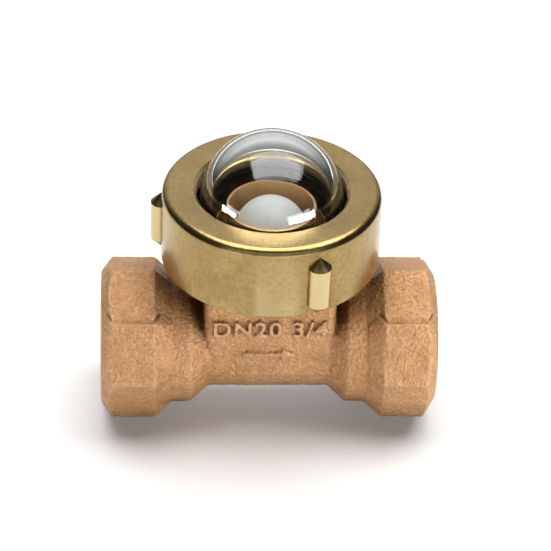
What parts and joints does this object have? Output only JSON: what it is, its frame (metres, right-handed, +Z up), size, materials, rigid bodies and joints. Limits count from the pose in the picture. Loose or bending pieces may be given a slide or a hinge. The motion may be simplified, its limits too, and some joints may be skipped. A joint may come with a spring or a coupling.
{
  "type": "sight glass",
  "caption": "Dome sight glass for a water pipe: threaded bronze body, brass ring nut, glass dome and a ball that lifts in a riser cup when water flows.",
  "frame": {"origin": "centre of the inlet port's face, on the run's axis", "axes": "+X along the run in the direction of flow, +Z up along the dome's axis"},
  "size_m": [0.08, 0.052, 0.076],
  "materials": {
    "cast_bronze": "sand cast and blasted, satin",
    "turned_brass": "turned, satin",
    "clear_glass": "pressed and polished",
    "cup_bronze": "turned, bright",
    "white_ptfe": "matte",
    "gasket_rubber": "matte",
    "stainless": "brushed"
  },
  "bodies": {
    "casting": {"body": "cast_bronze", "riser_cup": "cup_bronze", "ball_rest_pin": "stainless", "lower_gasket": "gasket_rubber", "dome_glass": "clear_glass", "upper_gasket": "gasket_rubber"},
    "washer": {"slip_washer": "stainless"},
    "nut": {"ring_nut": "turned_brass"},
    "ball": {"flow_ball": "white_ptfe"}
  },
  "joints": [
    {"name": "nut_lift", "type": "slide", "parent": "casting", "child": "washer", "axis": [0, 0, 1], "range_m": [0, 0.00705]},
    {"name": "nut_turn", "type": "hinge", "parent": "washer", "child": "nut", "pos_m": [0.04, 0, 0.0337], "axis": [0, 0, 1], "range_deg": [0, 1260]},
    {"name": "ball_rise", "type": "slide", "parent": "casting", "child": "ball", "axis": [0, 0, 1], "range_m": [0, 0.014]}
  ],
  "couplings": [
    {"joint": "nut_lift", "follows": "nut_turn", "m_per_rad": 0.00031831}
  ]
}
